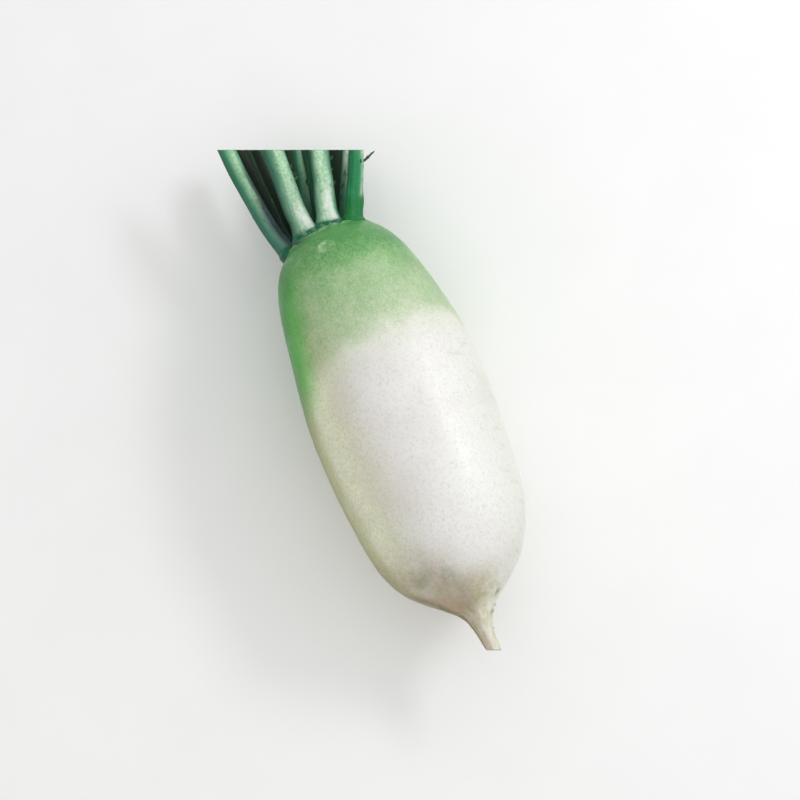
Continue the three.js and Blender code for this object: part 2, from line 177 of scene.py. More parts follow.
# ------------------------------------------------------------------ the root
def build_root():
    chord = np.concatenate([[0], np.cumsum(np.hypot(np.diff(ROOT[:, 0]), np.diff(ROOT[:, 1])))])
    dense, at = spline(np.column_stack([ROOT, chord]), 1600)
    step = at[1] - at[0]
    prof = dense[:, :3].copy()
    soft = [gauss_filter(dense[:, c], 2.6 / step) for c in range(3)]
    near_tip = smooth(at[-1] - 14, at[-1] - 5, at)
    for c in range(3):
        prof[:, c] = soft[c] * (1 - near_tip) + dense[:, c] * near_tip
    prof[-1, 1] = 0.0
    # rings lie closer together at the tail and at the crown
    s_of = prof[:, 0]
    density = 1 / (0.42 + 0.50 * smooth(-98, -78, s_of) * (1 - smooth(86, 98, s_of)))
    cum = np.concatenate([[0], np.cumsum(0.5 * (density[1:] + density[:-1]) * np.diff(at))])
    rings = 430
    where = np.interp(np.linspace(0, cum[-1], rings), cum, at)[:-1]
    s = np.interp(where, at, prof[:, 0])
    h = np.interp(where, at, prof[:, 1])
    m = np.interp(where, at, prof[:, 2])
    rings = len(s)
    sides = 288
    phi = np.arange(sides) / sides * 2 * np.pi
    S, F = np.meshgrid(s, phi, indexing="ij")
    H = np.repeat(h[:, None], sides, 1)
    M = np.repeat(m[:, None], sides, 1)
    cosf, sinf = np.cos(F), np.sin(F)
    grid = np.stack([S, M + H * cosf, H * ROUND * sinf], -1)
    n = normals_of(grid[:, ::-1])[:, ::-1]
    out = grid - np.stack([S, M, 0 * S], -1)
    n *= np.sign((n * out).sum(-1) + n[..., 0] * 1e-3 * 0 + 1e-12)[..., None]
    # the crown faces forwards
    tipward = S > 105
    n[tipward & (n[..., 0] < 0)] *= -1

    deg = np.degrees(F)
    around_mm = H * F
    body = smooth(-112, -84, S) * (1 - smooth(98, 104, S))

    # broad unevenness, then shallow dents and swellings
    d = 0.42 * noise(grid, 46, 1) * body + 0.20 * noise(grid, 19, 2) * body
    # faint girdling wrinkles, uneven in length and spacing, strongest towards the tail
    gird = noise(grid, [2.6, 17, 17], 3) + 0.6 * noise(grid, [1.3, 9, 9], 5)
    d += gird * (0.020 + 0.17 * smooth(-62, -94, S)) * np.clip(0.55 + 0.9 * noise(grid, 24, 4), 0.1, 1.3) * smooth(-112, -100, S) * body
    wave = np.sin(2 * np.pi * (S + 5.5 * noise(grid, 30, 6) + 0.06 * around_mm * np.sign(cosf)) / 9.0)
    d += 0.030 * wave * body
    # fine pebbling of the skin
    d += 0.030 * noise(grid, 2.6, 7) * body
    # lengthwise puckers that run down into the tail
    pucker = np.sin(9 * F + 2.2 * noise(grid, 9, 8)) * 0.6 + np.sin(5 * F + 1.0 + 1.5 * noise(grid, 12, 9)) * 0.6
    d += pucker * 0.28 * smooth(-86, -100, S) * np.clip(H / 12, 0.25, 1)
    d += 0.35 * noise(grid, [7, 3.2, 3.2], 10) * smooth(-104, -112, S) * 0.6
    d += 0.16 * noise(grid, 1.7, 11) * smooth(-100, -106, S)

    # little scars where side roots were: two rows, on opposite sides, wide and shallow
    scar = np.zeros_like(S)
    rs = np.random.RandomState(7)
    for row in (28.0, 205.0):
        for k in range(13):
            s0 = -97 + k * 9.8 + rs.uniform(-3, 3)
            f0 = math.radians(row + rs.uniform(-13, 13))
            ln, wd = rs.uniform(2.2, 4.6), rs.uniform(0.45, 0.8)
            depth = rs.uniform(0.10, 0.24)
            da = (np.angle(np.exp(1j * (F - f0)))) * H
            e = bell(da, ln) * bell(S - s0 - 0.04 * da, wd)
            scar += e * (0.5 + 0.5 * rs.rand())
            d += -depth * e + 0.5 * depth * bell(da, ln) * bell(S - s0 - 1.3 - 0.04 * da, wd)
    for k in range(46):
        s0, f0 = rs.uniform(-92, 60), rs.uniform(0, 2 * math.pi)
        ln, wd = rs.uniform(0.8, 2.2), rs.uniform(0.4, 0.6)
        da = (np.angle(np.exp(1j * (F - f0)))) * H
        e = bell(da, ln) * bell(S - s0, wd)
        scar += 0.45 * e
        d += -0.07 * e

    # stubs of side roots on the tail
    nub = np.zeros_like(S)
    for s0, f0, r, a in [(-101.6, 24, 1.5, 0.55), (-106.6, 12, 0.9, 0.5), (-109.2, 20, 1.2, 0.4), (-117.3, 12, 0.8, 0.45), (-104.6, 152, 1.1, 0.45), (-119.8, 150, 0.6, 0.35),
                         (-99.2, 168, 1.0, 0.4), (-113.0, 235, 0.7, 0.7), (-104.0, 290, 0.9, 0.8), (-98.5, 215, 0.9, 0.6), (-122.5, 320, 0.5, 0.5), (-111.0, 330, 0.7, 0.6)]:
        da = (np.angle(np.exp(1j * (F - math.radians(f0))))) * np.maximum(H, 1)
        e = np.exp(-((da / r) ** 2 + ((S - s0) / (r * 0.8)) ** 2) ** 1.3)
        d += a * e
        nub = np.maximum(nub, e)

    # scar of an old leaf on the shoulder: an oval plate with a raised rim
    s0, f0 = 90.2, math.radians(94)
    da = (np.angle(np.exp(1j * (F - f0)))) * H
    rr = np.sqrt((da / 4.7) ** 2 + ((S - s0) / 3.4) ** 2) * (1 + 0.16 * noise(grid, 2.4, 18))
    turn_to = np.arctan2(S - s0, da)
    crescent = bell(rr - 0.86, 0.24) * np.clip(np.cos(turn_to - 0.37), 0, 1) ** 0.8
    leaf_scar = smooth(1.15, 0.7, rr) * np.clip(0.45 + 1.1 * noise(grid, 1.5, 19), 0, 1)
    d += 0.26 * crescent + 0.08 * bell(rr - 0.9, 0.2) - 0.18 * bell(rr, 0.7) + 0.16 * noise(grid, 1.4, 19) * smooth(1.1, 0.7, rr)
    ridge = crescent * np.clip(0.7 + 0.6 * noise(grid, 1.2, 20), 0, 1)
    for s1, f1, a1, b1 in [(93.0, 20, 4.2, 2.2), (91.5, 158, 5.0, 2.4), (88.0, 232, 4.8, 2.6), (92.5, 300, 4.6, 2.2), (97.0, 60, 3.4, 1.5), (96.5, 126, 3.8, 1.6)]:
        db = (np.angle(np.exp(1j * (F - math.radians(f1))))) * H
        r2 = np.sqrt((db / a1) ** 2 + ((S - s1) / b1) ** 2)
        d += 0.14 * bell(r2 - 0.95, 0.25) - 0.10 * bell(r2, 0.7)

    # the rim under the stalks: a pale, slightly broken ledge with a groove behind it
    rad = H
    crown = smooth(98.5, 100.5, S)
    wob = 0.9 * noise(np.stack([cosf * 20, sinf * 20, 0 * S], -1), 9, 12)
    rim = bell(rad - 22.6 - wob, 1.0) * crown
    d += (0.75 + 0.35 * noise(grid, 3.2, 13)) * rim
    d += -0.85 * bell(rad - 20.2 - wob, 0.85) * crown
    d += 0.45 * noise(grid, 3.4, 14) * smooth(19.5, 17.5, rad) * crown
    d += 0.30 * noise(grid, 1.5, 15) * smooth(22, 19.5, rad) * crown
    rim_mask = rim
    # a small green bud on the rim in front
    for sv, bz, r, a in [((4.4, 21.9), 1.0, 1.5, 1.6), ((1.9, 22.2), 1.0, 1.0, 0.9)]:
        d2 = (grid[..., 1] - sv[0]) ** 2 + (grid[..., 2] - sv[1]) ** 2
        e = np.exp(-d2 / (r * r)) * crown * (sinf > 0)
        d += a * e
    bud = np.exp(-(((grid[..., 1] - 4.2) / 2.2) ** 2 + ((grid[..., 2] - 21.9) / 1.4) ** 2)) * crown * (sinf > 0)

    grid = grid + n * d[..., None]

    # the snapped end of the tail
    pt, nt = TAIL_END
    over = ((grid - pt) @ nt)
    ragged = 0.35 * noise(grid, 1.3, 16)
    beyond = over + ragged
    # rings past the snapped end fall onto its plane, drawn in towards the middle
    keep = np.where((beyond < 0).all(1))[0][0]
    base = grid[keep:].copy()
    ringpts = base[0]
    # slide each line back to the plane from the first whole ring
    slope = grid[keep] - grid[keep + 2]
    along = -(((ringpts - pt) @ nt)) / np.minimum(slope @ nt, -1e-6) * -1
    end = ringpts + slope * (-((ringpts - pt) @ nt + ragged[keep] * 0.8) / (slope @ nt))[:, None]
    centre = end.mean(0)
    extra = []
    for f in (0.0, 0.33, 0.66):
        extra.append(end * (1 - f) + ringpts * f)
    cap = []
    for k, q in enumerate((0.93, 0.8, 0.62, 0.42, 0.22)):
        ring = centre + (end - centre) * q
        bump = 0.28 * noise(ring, 1.1, 17) + (0.16 if k < 2 else 0.10) * math.sin(k * 1.7)
        cap.append(ring + nt * np.asarray(bump)[..., None])
    cap = cap[::-1]
    allrings = np.concatenate([np.array(cap), np.array(extra), base], 0)
    pad_n = len(cap) + len(extra)

    def ext(a, fill=None):
        first = np.repeat(a[keep:keep + 1], pad_n, 0) if fill is None else np.full((pad_n, sides), fill)
        return np.concatenate([first, a[keep:]], 0)

    S2, F2, H2 = ext(S), ext(F), ext(H)
    cut_mask = np.zeros_like(S2)
    cut_mask[:len(cap)] = 1.0
    scar2, nub2, rim2, bud2, ls2, ridge2 = (ext(a) for a in (scar, nub, rim_mask, bud, leaf_scar, ridge))

    # the belly is slightly flattened where the root lies on the surface
    zr = allrings[..., 2] + AXIS_HEIGHT
    zr = 0.5 * (zr + np.sqrt(zr * zr + 0.16 ** 2))
    allrings[..., 2] = zr - AXIS_HEIGHT

    R = allrings.shape[0]
    verts = np.vstack([allrings.reshape(-1, 3), allrings[0].mean(0)[None] + nt * 0.05, [[107.6, 0.8, 0.0]]])
    faces = tube_faces(R, sides)
    a, b = R * sides, R * sides + 1
    t = (R - 1) * sides
    for j in range(sides):
        k = (j + 1) % sides
        faces.append([a, j, k])
        faces.append([b, t + k, t + j])

    # ---- painted-in-field masks, worked out from place only
    P = allrings
    left = np.clip(-np.cos(F2), 0, 1)
    right = np.clip(np.cos(F2), 0, 1)
    below = np.clip(-np.sin(F2), 0, 1)
    deg0 = np.degrees(F2)
    # the green runs further down one flank, and ends more sharply on the other
    ss = S2 + 45 * left ** 5 + 10 * right ** 8 - 5 * right ** 1.5 + 5 * below + 2.6 * noise(P, [30, 8, 8], 21) + 1.3 * noise(P, 4.5, 22)
    ss = ss + 6 * bell(deg0 - 100, 15) * smooth(28, 40, S2) * smooth(88, 76, S2) - 5 * bell(deg0 - 124, 14) * bell(S2 - 56, 14) + 10 * bell(deg0 - 56, 44) * smooth(68, 86, S2) + 7 * bell(deg0 - 26, 18) * smooth(34, 48, S2) * smooth(84, 70, S2) - 4 * bell(deg0 - 90, 20) * bell(S2 - 58, 9)
    ss = np.where(ss < 46, 46 + (ss - 46) * (1 + 0.45 * right), ss)
    green = np.interp(ss, [16, 30, 38, 46, 60, 71, 82, 90, 98], [0, 0.12, 0.34, 0.48, 0.60, 0.68, 0.79, 0.91, 1.0])
    green = np.clip(green + 0.07 * noise(P, 15, 24) * smooth(0.05, 0.3, green), 0, 1.1)
    # olive tint on the far flank, partly the skin's colour and partly painted shade, deepening to a darker line along
    # the side, which is painted shade
    yellow = smooth(0.12, 0.95, left + 0.07 * noise(P, 20, 23)) * smooth(86, 40, S2) + 0.35 * below * smooth(72, 30, S2)
    yellow = np.clip(yellow * (0.85 + 0.30 * noise(P, 10, 24)), 0, 1)
    yellow *= 1 - 0.75 * smooth(-72, -96, S2)
    olive_and_shade = smooth(0.82, 0.975, left + 0.025 * noise(P, 9, 29)) * (0.20 + 0.80 * smooth(-0.75, 0.0, np.sin(F2))) * smooth(60, 34, S2)
    narrow = smooth(-84, -100, S2)
    left_edge_painted_shade = smooth(0.955 - 0.17 * narrow, 0.998 - 0.03 * narrow, left + 0.010 * noise(P, 12, 33))
    left_edge_painted_shade = left_edge_painted_shade * smooth(0.42, 0.0, below) * smooth(64, 26, S2) * (0.55 + 0.42 * narrow)
    # the right-hand edge is toned down: painted shade
    right_edge_painted_shade = smooth(0.55, 0.95, right) * smooth(0.75, 0.2, below)
    # a pale yellow band just inside the far edge: painted bounce light
    painted_bounce_light = bell(deg0 - 140, 15) * smooth(40, 16, S2) * smooth(-86, -60, S2) * np.clip(0.8 + 0.3 * noise(P, 9, 34), 0, 1)
    verdant = smooth(0.50 + 0.14 * smooth(62, 44, S2), 0.95, left + 0.05 * noise(P, 9, 32)) * smooth(6, 40, S2) * smooth(102, 92, S2) * (0.30 + 0.70 * smooth(-0.7, 0.05, np.sin(F2)))
    pink = bell(np.degrees(np.angle(np.exp(1j * (F2 - math.radians(118))))), 30) * smooth(-80, -50, S2) * smooth(36, 12, S2)
    pink = pink * np.clip(0.65 + 0.6 * noise(P, 15, 25), 0, 1)
    low = smooth(-67, -99, S2 + 10 * (right - left))
    deg2 = np.degrees(F2)
    shade = low * (0.18 + 0.82 * smooth(50, 125, deg2) * smooth(320, 250, deg2)) * np.clip(0.85 + 0.35 * noise(P, 8, 30), 0, 1)
    dirt = low * np.clip(0.25 + 1.1 * noise(P, [9, 9, 9], 26) + 0.5 * noise(P, 3.4, 27), 0, 1) * (0.45 + 0.55 * smooth(60, 120, deg2) * smooth(250, 170, deg2))
    dirt = np.clip(dirt + 0.6 * smooth(-94, -100, S2) * smooth(-108, -101, S2) * bell(deg2 - 145, 38) * np.clip(0.6 + noise(P, 5, 28), 0, 1), 0, 1)
    rust_and_edge_shade = smooth(-91, -97, S2) * smooth(-108, -101, S2) * bell(deg2 - 152, 30) * np.clip(0.55 + 0.9 * noise(P, 4, 31), 0, 1)
    # the second part is a darker brown line along the tail's far edge: painted shade
    rust_and_edge_shade = np.maximum(rust_and_edge_shade, 0.85 * smooth(-103, -109, S2) * smooth(0.84, 0.99, left) * smooth(0.5, 0.1, below))
    # a painted shadow on the far shoulder by the first stalk's foot
    painted_shoulder_shadow = smooth(0.72, 0.97, left) * bell(S2 - 93, 8) * smooth(0.6, 0.0, below)
    tail = smooth(-97, -108, S2)
    tan = smooth(-86, -96, S2) * smooth(-110, -101, S2) * smooth(24, 80, deg2) * smooth(300, 230, deg2)
    smudge = np.maximum(bell(S2 + 86, 4.0) * bell(deg2 - 132, 12), bell(S2 + 88, 5.0) * bell(deg2 - 106, 9)) * 0.9
    moss = 0.8 * bell(S2 + 99, 5) * bell(deg2 - 62, 30) * np.clip(0.7 + 0.6 * noise(P, 5, 36), 0, 1)

    def flat(a, c0=0.0, c1=0.0):
        return np.concatenate([a.reshape(-1), [c0, c1]])

    attrs = dict(green=flat(green, 0, 1), yellow=flat(yellow), pink=flat(pink), dirt=flat(dirt, 0.2), olive_and_shade=flat(olive_and_shade), painted_bounce_light=flat(painted_bounce_light), left_edge_painted_shade=flat(left_edge_painted_shade), right_edge_painted_shade=flat(right_edge_painted_shade), verdant=flat(verdant), shade=flat(shade), rust_and_edge_shade=flat(rust_and_edge_shade), tan=flat(tan), moss=flat(moss), painted_shoulder_shadow=flat(painted_shoulder_shadow), smudge=flat(smudge), tail=flat(tail, 1, 0), rim=flat(rim2), bud=flat(bud2),
                 scar=flat(np.clip(scar2, 0, 1)), nub=flat(nub2), leafscar=flat(ls2), ridge=flat(ridge2), cut=flat(cut_mask, 1, 0),
                 crown=flat(smooth(22.2, 20.6, H2) * smooth(99, 101, S2), 0, 1))
    return make_object("daikon_root", verts, faces, attrs)


# ------------------------------------------------------------------ leaf stalks
CROWN_CENTRE = np.array([100.0, 0.5, 0.0])


def build_stalk(name, spec, index):
    young = name.startswith("inner")
    sides = 40 if young else 64
    rows = 84 if young else 120
    path, at = spline(spec["path"], 260)
    tang = np.gradient(path, axis=0)
    tang /= np.linalg.norm(tang, axis=1)[:, None]
    out = path - CROWN_CENTRE
    out[:, 0] = 0
    out /= np.linalg.norm(out, axis=1)[:, None]
    out -= (out * tang).sum(1)[:, None] * tang
    out /= np.linalg.norm(out, axis=1)[:, None]
    side = np.cross(tang, out)
    # the working frame has its sideways axis turned over, so this keeps 0 degrees on the image-right flank
    side = np.where((side[:, 1:2] < 0) if abs(side[len(side) // 2, 1]) > 0.15 else (side[:, 2:3] < 0), -side, side)
    u = at / at[-1]
    t0 = np.clip(u / 0.22, 0, 1)
    ease = t0 * t0 * (3 - 2 * t0)

    def size(a):
        return np.where(u < 0.22, a[0] + (a[1] - a[0]) * ease, a[1] + (a[2] - a[1]) * (u - 0.22) / 0.78) / 2

    w, d = size(spec["wide"]), size(spec["deep"])
    # distance past the crown's skin
    emerge = np.interp(0, path[:, 0] - (104.6 - 0.010 * (path[:, 1] ** 2 + path[:, 2] ** 2) * 0.6), at)
    past = at - emerge
    flare = 1 + (0.16 if not young else 0.28) * bell(past, 5.0) * (past > -1) + 0.16 * (past <= -1)
    th = np.arange(sides) / sides * 2 * np.pi
    U, TH = np.meshgrid(np.arange(len(at)), th, indexing="ij")
    X, Y = np.cos(TH), np.sin(TH)
    W = (w * flare)[:, None]
    Dp = (d * (0.5 + 0.5 * flare))[:, None]
    # rounded outside, flatter and grooved inside, with low corners between
    sx = np.sign(X) * np.abs(X) ** 0.92 * W
    sy = np.where(Y > 0, Y * Dp, 0.72 * Y * Dp)
    groove = 0.30 * bell(X, 0.42) * np.clip(-Y, 0, 1) * Dp
    sy = sy + groove
    base = path[:, None, :] + side[:, None, :] * sx[..., None] + out[:, None, :] * sy[..., None]
    n = side[:, None, :] * (X * 1.0)[..., None] + out[:, None, :] * (Y * 1.0)[..., None]
    n /= np.linalg.norm(n, axis=-1)[..., None]
    PA = np.repeat(past[:, None], sides, 1)
    off = np.array([31.0 * index, 0, 0])
    q = base + off
    ribs = 9 if not young else 7
    k = 0.115 if not young else 0.07
    amp = k * (0.35 + 0.65 * smooth(-0.5, 0.3, Y)) * smooth(1, 8, PA)
    disp = amp * (np.cos(ribs * TH + 0.7 * index + 0.35 * noise(q, 22, 31)) + 0.4 * np.cos(2 * ribs * TH + 1.3))
    disp += 0.28 * noise(q, [26, 11, 11], 32) + 0.10 * noise(q, [14, 3.0, 3.0], 33)
    disp += 0.035 * noise(q, [1.9, 0.9, 0.9], 34)
    # the swollen lip where the stalk clasps the crown
    lip = bell(PA - 2.2 - 0.7 * noise(q, 4, 35), 1.8) * smooth(-0.45, 0.2, Y)
    lip = lip * np.clip(0.95 + 0.55 * noise(q, 5, 40) + spec["lip"] * smooth(-0.2, 0.7, X), 0.25, 1.8)
    disp += 0.50 * lip * (1 if not young else 0.4)
    if spec["deepness"] == 1.0 and not young:
        disp += 0.9 * bell(PA - 11.5, 4.5) * smooth(0.1, 0.8, X)
    disp += -0.35 * bell(PA - 3.6, 1.2) * smooth(-0.2, 0.4, Y) * (1 if not young else 0.3)
    # short bristles, flattened into low warts
    rs = np.random.RandomState(300 + index)
    wart = np.zeros_like(disp)
    length = at[-1]
    for _ in range(26 if not young else 10):
        p0 = rs.uniform(6, length - 4)
        t1 = rs.uniform(0, 2 * np.pi)
        r = rs.uniform(0.28, 0.5)
        da = np.angle(np.exp(1j * (TH - t1))) * W
        e = np.exp(-((da / r) ** 2 + ((PA - p0) / (r * 1.6)) ** 2))
        wart = np.maximum(wart, e)
    disp += 0.20 * wart
    base = base + n * disp[..., None]

    # each line along the stalk stops at the knife cut
    kp, kn = KNIFE
    beyond = (base - kp) @ kn
    rough = 0.10 * noise(base, 2.0, 36)
    f = beyond + rough
    idx = np.array([np.argmax(f[:, j] > 0) if (f[:, j] > 0).any() else len(at) - 1 for j in range(sides)])
    cutpos = np.empty(sides)
    for j in range(sides):
        i = max(idx[j], 1)
        a0, a1 = f[i - 1, j], f[i, j]
        cutpos[j] = (i - 1) + (0 - a0) / (a1 - a0 + 1e-12) if a1 != a0 else i
    cutpos = np.clip(cutpos, 2, len(at) - 1)
    frac = np.linspace(0, 1, rows) ** 0.92
    rowsP = np.empty((rows, sides, 3))
    vals = {"past": PA, "lip": lip, "wart": wart}
    rowsV = {k2: np.empty((rows, sides)) for k2 in vals}
    for j in range(sides):
        pos = frac * cutpos[j]
        for c in range(3):
            rowsP[:, j, c] = np.interp(pos, np.arange(len(at)), base[:, j, c])
        for k2, v in vals.items():
            rowsV[k2][:, j] = np.interp(pos, np.arange(len(at)), v[:, j])
    TH2 = np.repeat(th[None], rows, 0)
    end = rowsP[-1]
    cen = end.mean(0)
    caps, cval = [], []
    qs = [0.985, 0.93, 0.86, 0.78, 0.69, 0.60, 0.50, 0.40, 0.30, 0.20, 0.10]
    for qn in qs:
        ring = cen + (end - cen) * qn
        sink = -0.42 * smooth(0.95, 0.45, qn) + 0.10 * noise(ring + off, 1.3, 37) + (0.06 if qn > 0.9 else 0)
        # vascular strands stand slightly proud of the softer pith
        strand = np.zeros(sides)
        for a0 in ([90, 52, 128, 18, 162, 350, 190] if not young else [90, 35, 145]):
            strand += bell(np.degrees(np.angle(np.exp(1j * (th - math.radians(a0))))), 7 if not young else 12) * bell(qn - 0.66, 0.10)
        caps.append(ring + kn * (sink + 0.25 * strand)[:, None])
        cval.append(np.clip(strand, 0, 1))
    P = np.concatenate([rowsP, np.array(caps)], 0)
    R = P.shape[0]
    verts = np.vstack([P.reshape(-1, 3), P[0].mean(0)[None], (cen + kn * -0.42)[None]])
    faces = tube_faces(R, sides)
    a, b, t = R * sides, R * sides + 1, (R - 1) * sides
    for j in range(sides):
        k1 = (j + 1) % sides
        faces.append([a, j, k1])
        faces.append([b, t + k1, t + j])
    nc = len(caps)

    def with_cap(v, fill=0.0):
        return np.concatenate([v, np.full((nc, sides), fill)], 0)

    # the direction each line of skin faces in the cross plane, the same for every stalk
    mid = len(path) // 2
    face = np.cos(th)[:, None] * side[mid] + np.sin(th)[:, None] * out[mid]
    psi = np.degrees(np.arctan2(face[:, 2], face[:, 1]))[None]

    def apart(centre):
        return np.abs((psi - centre + 180) % 360 - 180)

    RV = rowsV["past"]
    wob = 7 * noise(rowsP + off, [30, 6, 6], 38)
    bc, bw, bs = spec["pale_band_and_light"]
    bc = bc + (16 * smooth(10, 44, RV) if name == "leaf_stalk_3" else 0)
    bw = bw - (9 * smooth(20, 40, RV) if name in ("leaf_stalk_2", "leaf_stalk_3") else 0)
    if spec["deepness"] == 1.0 and not young:
        bw = bw + 20 * smooth(28, 42, RV)
    # pale band: partly the stalk's own pale colour, partly painted light on the side facing the light
    pale_band_and_light = np.exp(-((apart(bc) + wob).clip(0) / bw) ** 2.2) * bs
    if spec["deepness"] == 1.0 and not young:
        pale_band_and_light = pale_band_and_light * smooth(10, 17, RV)
    bc, bw, bs = spec["painted_shade_flank"]
    # painted shade: darker teal on the side turned away from the light
    painted_shade_flank = np.exp(-((apart(bc) + wob).clip(0) / bw) ** 2.4) * bs
    # a near-white patch near the foot: painted highlight
    bc, bw, b0, b1, bs = spec["highlight_patch"]
    bc = bc - (16 * smooth(12, 4, RV) if name == "leaf_stalk_3" else 0)
    painted_highlight = np.clip(np.exp(-((apart(bc) + wob).clip(0) / bw) ** 2) * bell(RV - b0, b1) * bs * np.clip(0.8 + 0.7 * noise(rowsP + off, [6, 2.2, 2.2], 39), 0, 1.2), 0, 1)
    # both side edges of the stalk are darkened: painted shade
    edge = np.maximum(bell(apart(184), 26), bell(apart(-4), 24)) * (1 - 0.6 * smooth(5, 0, RV))
    bloom = spec["blue"] * smooth(40, 16, RV + 3 * noise(rowsP + off, 9, 41)) * (0.72 + 0.28 * smooth(112, 84, apart(0)))
    # bluish grey on the right-hand side near the crown: painted shade
    bluish_shade = np.clip(spec["blue"] * 1.2, 0, 1) * np.maximum(smooth(60, 40, RV) * smooth(78, 50, apart(0)), smooth(44, 26, RV) * smooth(104, 68, apart(0)))
    foot = spec["lip"] * smooth(17, 11, RV + 1.5 * noise(rowsP + off, 4, 42)) * (1 if spec["deepness"] == 1.0 and not young else 0)
    cut = np.concatenate([np.zeros((rows, sides)), np.ones((nc, sides))], 0)
    cut[rows - 1] = 0.5
    radial = np.concatenate([np.ones((rows, sides)), np.repeat(np.array(qs)[:, None], sides, 1)], 0)
    strands = np.concatenate([np.zeros((rows, sides)), np.array(cval)], 0)

    def flat(v, c0=0.0, c1=0.0):
        return np.concatenate([v.reshape(-1), [c0, c1]])

    attrs = dict(painted_shade_flank=flat(with_cap(painted_shade_flank)), edge=flat(with_cap(edge)), bloom=flat(with_cap(bloom)), bluish_shade=flat(with_cap(bluish_shade)), foot=flat(with_cap(foot)), sides=flat(with_cap(smooth(58, 96, apart(92) + 0 * RV))),
                 gap_shade=np.full(len(verts), spec["gap_shade"]), pale_band_and_light=flat(with_cap(pale_band_and_light)), low=flat(with_cap(painted_highlight)), past=flat(with_cap(rowsV["past"], 50.0), -5, 50), lip=flat(with_cap(np.clip(1.3 * rowsV["lip"], 0, 1))),
                 wart=flat(with_cap(rowsV["wart"])), cut=flat(cut, 0, 1), radial=flat(radial, 1, 0), strand=flat(strands),
                 deepness=np.full(len(verts), spec["deepness"]))
    # signed volume of the closed skin, returned; the faces are turned outwards later by orient()
    v = verts
    tri = np.array([[q4[0], q4[1], q4[2]] for q4 in faces if len(q4) >= 3])
    vol = np.einsum("ij,ij->i", v[tri[:, 0]], np.cross(v[tri[:, 1]], v[tri[:, 2]])).sum()
    return verts, faces, attrs, vol, (rowsP, th, side, out, path, at)


def leaflet(origin, direction, up, length, width, curl, seed, sides=9, rows=14):
    """A small, thin leaf lobe with a midrib, closed all round."""
    o, dvec = np.asarray(origin, float), np.asarray(direction, float)
    dvec = dvec / np.linalg.norm(dvec)
    un = np.asarray(up, float)
    un = un - (un @ dvec) * dvec
    un /= np.linalg.norm(un)
    sd = np.cross(dvec, un)
    t = np.linspace(0, 1, rows)
    centre = o + dvec * (length * t)[:, None] + un * (curl * length * t ** 2)[:, None]
    half = width / 2 * np.sin(np.pi * np.clip(t, 0, 1) ** 0.75) ** 0.8 * (1 + 0.18 * np.sin(t * 19 + seed)) + 0.10
    thick = 0.30 * (1 - 0.6 * t) + 0.08
    th = np.arange(sides * 2) / (sides * 2) * 2 * np.pi
    rings = []
    for i in range(rows):
        x = np.cos(th) * half[i]
        y = np.sin(th) * thick[i] / 2 + 0.55 * np.abs(x) * 0.5 + 0.12 * np.sin(7 * t[i] + 3 * x + seed)
        rings.append(centre[i] + sd * x[:, None] + un * y[:, None])
    P = np.array(rings)
    n = len(th)
    verts = np.vstack([P.reshape(-1, 3), P[0].mean(0)[None], P[-1].mean(0)[None]])
    faces = tube_faces(rows, n)
    a, b, tt = rows * n, rows * n + 1, (rows - 1) * n
    for j in range(n):
        k = (j + 1) % n
        faces.append([a, j, k])
        faces.append([b, tt + k, tt + j])
    return verts, faces


def orient(verts, faces):
    """Faces turned so that the closed skin, in the row frame, points outwards."""
    v = to_row(verts)
    total = 0.0
    for f in faces:
        for i in range(1, len(f) - 1):
            total += np.dot(v[f[0]], np.cross(v[f[i]], v[f[i + 1]]))
    if total < 0:
        return [f[::-1] for f in faces]
    return faces


# ------------------------------------------------------------------ materials
def srgb(r, g, b):
    def lin(c):
        c = c / 255.0
        return c / 12.92 if c <= 0.04045 else ((c + 0.055) / 1.055) ** 2.4
    return (lin(r), lin(g), lin(b), 1.0)


